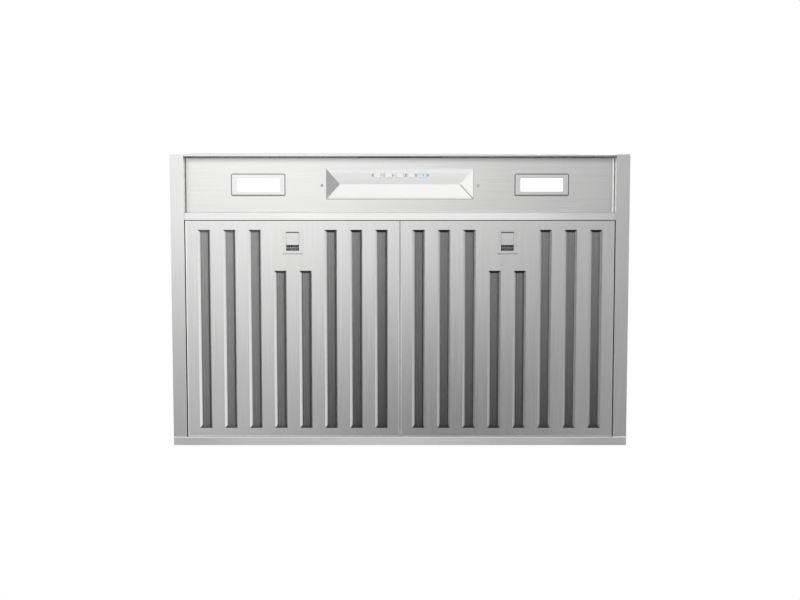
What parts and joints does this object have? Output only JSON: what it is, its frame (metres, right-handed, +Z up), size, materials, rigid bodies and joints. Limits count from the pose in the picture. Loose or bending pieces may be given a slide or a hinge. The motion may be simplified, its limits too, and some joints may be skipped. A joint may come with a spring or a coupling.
{
  "type": "range hood insert",
  "caption": "Stainless range hood insert with hinged baffle filters, sliding latches, lamps, key pod, blower and duct collar.",
  "frame": {"origin": "middle of the flange, in the plane of its underside", "axes": "+X to the right seen from the user's side, +Y to the wall behind, +Z up along the duct collar"},
  "size_m": [0.721, 0.462, 0.345],
  "materials": {
    "brushed_steel": "brushed",
    "galvanised": "satin",
    "aluminium": "satin",
    "mesh": "woven, matt",
    "lens": "diffusing",
    "key_plastic": "satin",
    "key_lit": "satin, lit blue",
    "board": "matt",
    "dark_plastic": "matt",
    "latch_metal": "brushed",
    "screws": "bright",
    "motor_paint": "satin"
  },
  "bodies": {
    "hood": {"blower_box": "galvanised", "canopy_shell": "brushed_steel", "capacitor": "aluminium", "capacitor_clamp": "dark_plastic", "control_board": "board", "control_clamp": "galvanised", "control_pod": "brushed_steel", "control_strip": "brushed_steel", "damper_shaft": "screws", "duct_collar": "galvanised", "filter_hooks": "brushed_steel", "front_ledge": "brushed_steel", "hang_bracket_left": "galvanised", "hang_bracket_right": "galvanised", "junction_box": "galvanised", "junction_cover": "galvanised", "led_module_left": "aluminium", "led_module_right": "aluminium", "light_bezel_left": "brushed_steel", "light_bezel_right": "brushed_steel", "light_lens_left": "lens", "light_lens_right": "lens", "motor_body": "motor_paint", "motor_bolts": "screws", "motor_bracket": "galvanised", "pan_screws": "screws", "pod_screws": "screws", "power_module": "dark_plastic", "rail_left": "brushed_steel", "rail_rear": "brushed_steel", "rail_right": "brushed_steel", "scroll_side_left": "galvanised", "scroll_side_right": "galvanised", "scroll_wrap": "galvanised", "terminal_block": "dark_plastic"},
    "filter_left": {"filter_face_left": "brushed_steel", "filter_mesh_left": "mesh", "filter_back_left": "aluminium", "filter_pins_left": "screws", "latch_cup_left": "latch_metal", "latch_spring_left": "latch_metal"},
    "filter_right": {"filter_face_right": "brushed_steel", "filter_mesh_right": "mesh", "filter_back_right": "aluminium", "filter_pins_right": "screws", "latch_cup_right": "latch_metal", "latch_spring_right": "latch_metal"},
    "latch_left": {"latch_slider_left": "latch_metal"},
    "latch_right": {"latch_slider_right": "latch_metal"},
    "key_1": {"key_1": "key_plastic"},
    "key_2": {"key_2": "key_plastic"},
    "key_3": {"key_3": "key_plastic"},
    "key_4": {"key_4": "key_plastic"},
    "key_5": {"key_5": "key_lit"},
    "rotor": {"blower_wheel": "galvanised", "wheel_rings": "galvanised", "wheel_disc": "galvanised", "rotor_shaft": "screws"},
    "damper_front": {"damper_flap_front": "aluminium"},
    "damper_rear": {"damper_flap_rear": "aluminium"}
  },
  "joints": [
    {"name": "filter_left_tilt", "type": "hinge", "parent": "hood", "child": "filter_left", "pos_m": [-0.16915, 0.212, 0.012], "axis": [1, 0, 0], "range_deg": [0, 65]},
    {"name": "latch_left_slide", "type": "slide", "parent": "filter_left", "child": "latch_left", "axis": [0, 1, 0], "range_m": [0, 0.004], "stiffness_N_per_m": 250, "springref_m": -0.004, "deforming": ["latch_spring_left"]},
    {"name": "filter_right_tilt", "type": "hinge", "parent": "hood", "child": "filter_right", "pos_m": [0.16915, 0.212, 0.012], "axis": [1, 0, 0], "range_deg": [0, 65]},
    {"name": "latch_right_slide", "type": "slide", "parent": "filter_right", "child": "latch_right", "axis": [0, 1, 0], "range_m": [0, 0.004], "stiffness_N_per_m": 250, "springref_m": -0.004, "deforming": ["latch_spring_right"]},
    {"name": "key_1_press", "type": "slide", "parent": "hood", "child": "key_1", "axis": [0, 0.4428, 0.8966], "range_m": [0, 0.0008], "stiffness_N_per_m": 200, "springref_m": -0.0015},
    {"name": "key_2_press", "type": "slide", "parent": "hood", "child": "key_2", "axis": [0, 0.4428, 0.8966], "range_m": [0, 0.0008], "stiffness_N_per_m": 200, "springref_m": -0.0015},
    {"name": "key_3_press", "type": "slide", "parent": "hood", "child": "key_3", "axis": [0, 0.4428, 0.8966], "range_m": [0, 0.0008], "stiffness_N_per_m": 200, "springref_m": -0.0015},
    {"name": "key_4_press", "type": "slide", "parent": "hood", "child": "key_4", "axis": [0, 0.4428, 0.8966], "range_m": [0, 0.0008], "stiffness_N_per_m": 200, "springref_m": -0.0015},
    {"name": "key_5_press", "type": "slide", "parent": "hood", "child": "key_5", "axis": [0, 0.4428, 0.8966], "range_m": [0, 0.0008], "stiffness_N_per_m": 200, "springref_m": -0.0015},
    {"name": "blower_spin", "type": "hinge", "parent": "hood", "child": "rotor", "pos_m": [0, -0.006, 0.205], "axis": [1, 0, 0], "continuous": true},
    {"name": "damper_front_swing", "type": "hinge", "parent": "hood", "child": "damper_front", "pos_m": [0, 0.0407, 0.3194], "axis": [-1, 0, 0], "range_deg": [0, 80]},
    {"name": "damper_rear_swing", "type": "hinge", "parent": "hood", "child": "damper_rear", "pos_m": [0, 0.0407, 0.3194], "axis": [1, 0, 0], "range_deg": [0, 80]}
  ]
}
